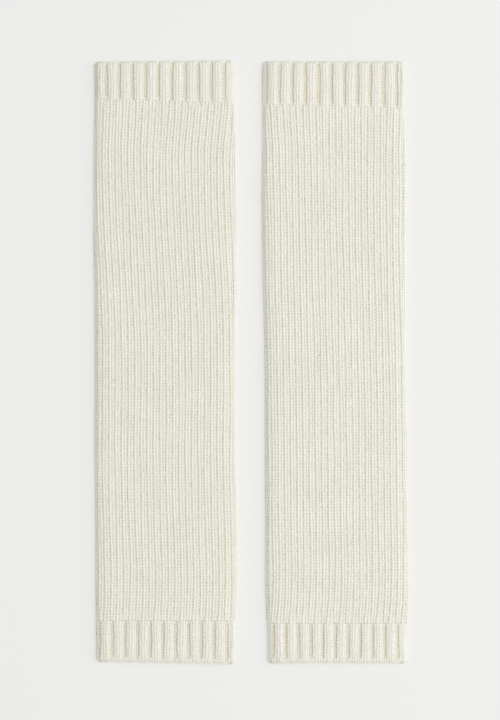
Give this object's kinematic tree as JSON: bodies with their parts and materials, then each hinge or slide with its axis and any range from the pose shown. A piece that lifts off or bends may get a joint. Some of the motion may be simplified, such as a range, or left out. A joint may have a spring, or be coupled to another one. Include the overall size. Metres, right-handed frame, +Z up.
{
  "type": "pair of leg warmers",
  "caption": "Pair of long rib-knit leg warmers laid flat side by side, each a hollow knitted tube with a bold ribbed cuff at both ends.",
  "frame": {"origin": "on the surface that the pair lies on, under the middle of the pair", "axes": "+Z up, +Y along the leg warmers towards their top cuffs, +X across the pair towards the right one"},
  "size_m": [0.2718, 0.52, 0.008],
  "materials": {
    "leg_knit": "cream wool-blend yarn in a close half-cardigan rib, soft and matt",
    "cuff_knit": "the same cream yarn in a bold 2x2 rib, soft and matt"
  },
  "bodies": {
    "root": {"left_body": "leg_knit", "left_top_cuff": "cuff_knit", "left_bottom_cuff": "cuff_knit", "right_body": "leg_knit", "right_top_cuff": "cuff_knit", "right_bottom_cuff": "cuff_knit"}
  },
  "joints": []
}
